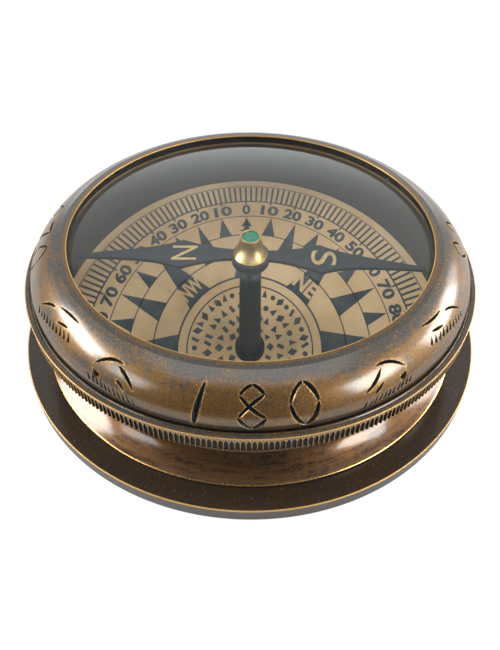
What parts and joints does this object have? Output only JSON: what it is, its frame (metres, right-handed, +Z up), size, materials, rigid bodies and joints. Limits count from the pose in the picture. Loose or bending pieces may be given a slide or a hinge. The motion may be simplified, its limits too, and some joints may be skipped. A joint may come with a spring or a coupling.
{
  "type": "desk compass with magnifying lid",
  "caption": "Round brass desk compass: a dial and balanced needle under a magnifying glass in a screw-on knurled lid, on a flanged base.",
  "frame": {"origin": "centre of the underside, on the surface that the compass stands on", "axes": "+Z up along the pivot; +Y away from the reader, towards the dial's zero; +X to the reader's right"},
  "size_m": [0.108, 0.108, 0.0313],
  "materials": {
    "brass_aged": "dark patina, worn gold at the edges",
    "brass_bright": "polished",
    "black_paint": "satin",
    "needle_steel": "blackened, satin",
    "pin_steel": "polished",
    "dial_metal": "satin",
    "dial_paper": "aged, printed in dark blue ink",
    "lens_glass": "polished",
    "jewel": "polished",
    "seal": "matte",
    "felt": "felt"
  },
  "bodies": {
    "case": {"base_plate": "brass_aged", "base_pad": "felt", "base_screws": "brass_bright", "body_drum": "brass_aged", "body_seal": "seal", "dial_plate": "dial_metal", "dial_card": "dial_paper", "wall_liner": "black_paint", "post_screw": "brass_bright", "post_washer": "black_paint", "pivot_post": "black_paint", "pivot_pin": "pin_steel"},
    "needle_group": {"needle": "needle_steel", "needle_hub": "black_paint", "needle_cap": "brass_bright", "cap_jewel": "jewel"},
    "glass_group": {"lens": "lens_glass", "lens_gasket_upper": "seal", "lens_gasket_lower": "seal"},
    "lid_group": {"lens_retainer": "brass_aged", "bezel_ring": "brass_aged", "knurled_collar": "brass_aged"}
  },
  "joints": [
    {"name": "needle_spin", "type": "hinge", "parent": "case", "child": "needle_group", "pos_m": [0, 0, 0.0216], "axis": [0, 0, 1], "continuous": true},
    {"name": "lid_lift", "type": "slide", "parent": "case", "child": "glass_group", "axis": [0, 0, 1], "range_m": [0, 0.0065]},
    {"name": "lid_turn", "type": "hinge", "parent": "glass_group", "child": "lid_group", "pos_m": [0, 0, 0.0212], "axis": [0, 0, 1], "range_deg": [0, 2340]}
  ],
  "couplings": [
    {"joint": "lid_lift", "follows": "lid_turn", "m_per_rad": 0.00015915}
  ]
}
